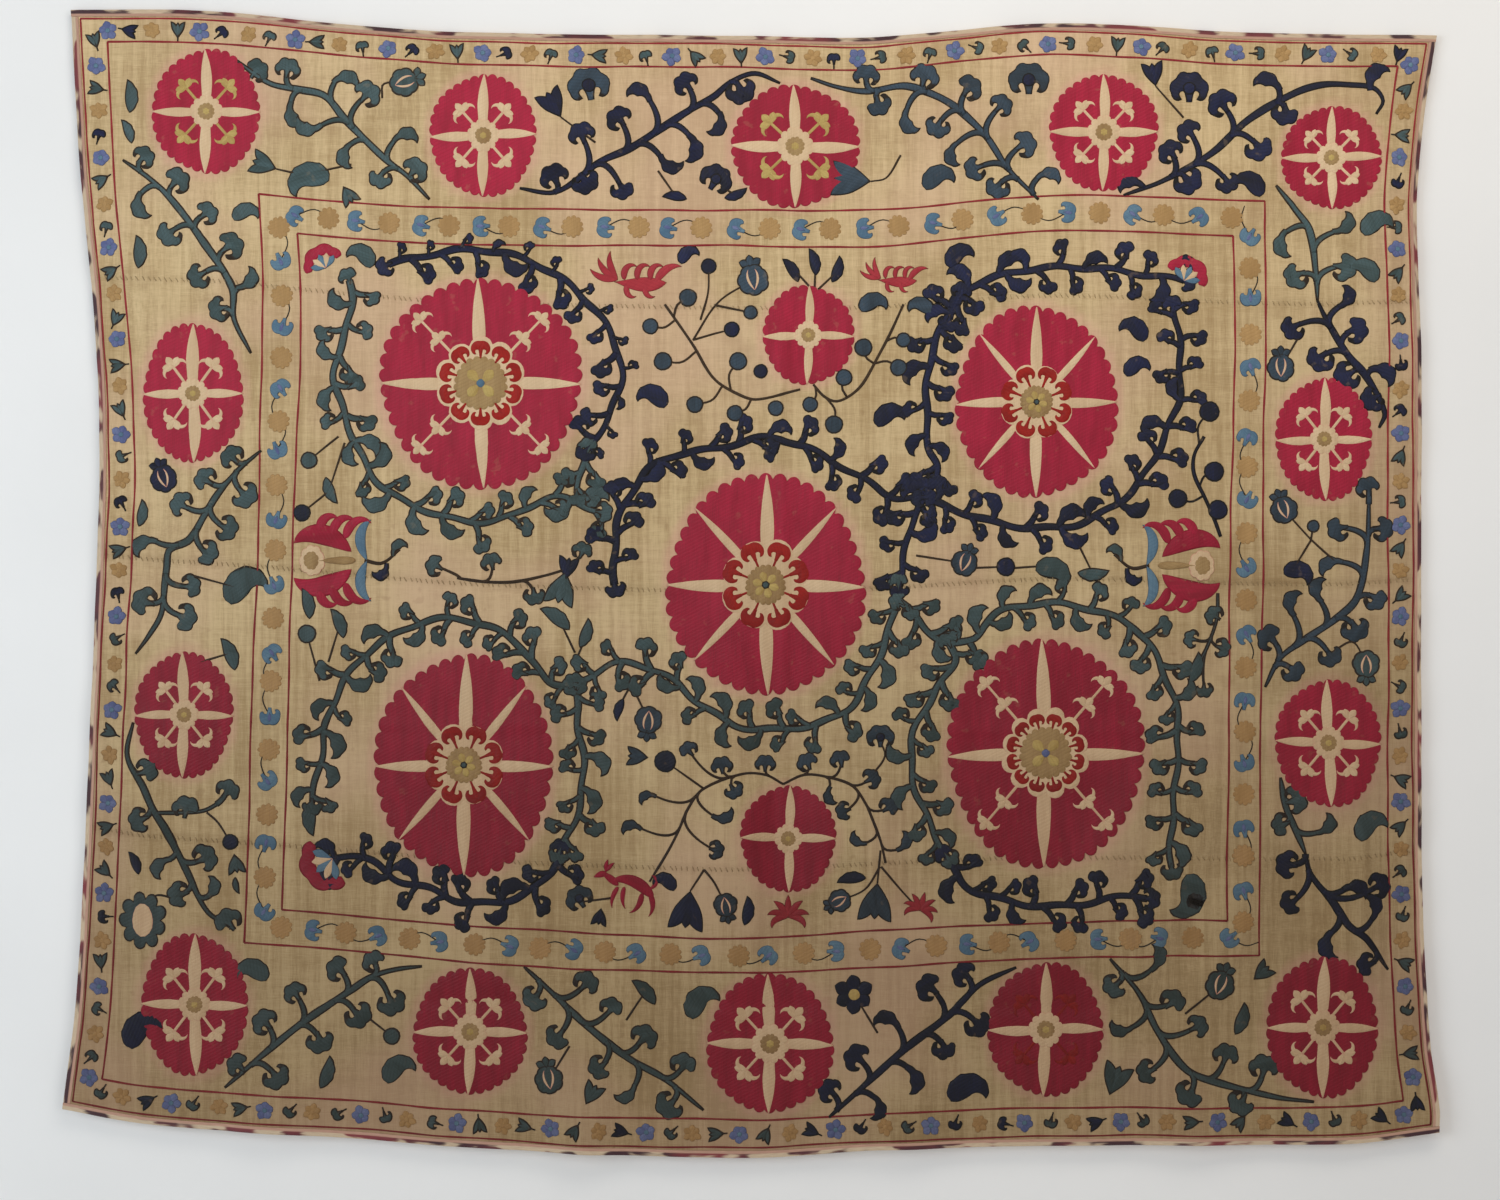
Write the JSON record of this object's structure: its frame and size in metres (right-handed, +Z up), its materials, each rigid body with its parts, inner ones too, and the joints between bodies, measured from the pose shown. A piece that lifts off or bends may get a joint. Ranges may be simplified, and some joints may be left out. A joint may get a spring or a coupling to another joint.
{
  "type": "suzani embroidered textile",
  "caption": "Old embroidered wall cloth: cotton loom widths sewn edge to edge, bound with patterned silk, covered in silk medallions and leafy vines, hung flat by its top edge.",
  "frame": {"origin": "middle of the hung top edge, in the middle of the cloth's thickness", "axes": "+Z up, +X to the right of someone facing the embroidered face, -Y out of the face, the wall on the +Y side"},
  "size_m": [2.1954, 0.0286, 1.8337],
  "materials": {
    "cotton": "matt hand-woven cotton, aged to a brownish cream",
    "silk_binding": "narrow warp-patterned silk, dark red and cream",
    "silk_thread": "couched silk embroidery thread with a soft sheen, in several dyed colours"
  },
  "bodies": {
    "root": {"panel_1": "cotton", "panel_2": "cotton", "panel_3": "cotton", "panel_4": "cotton", "binding_top": "silk_binding", "binding_bottom": "silk_binding", "binding_left": "silk_binding", "binding_right": "silk_binding"}
  },
  "joints": []
}
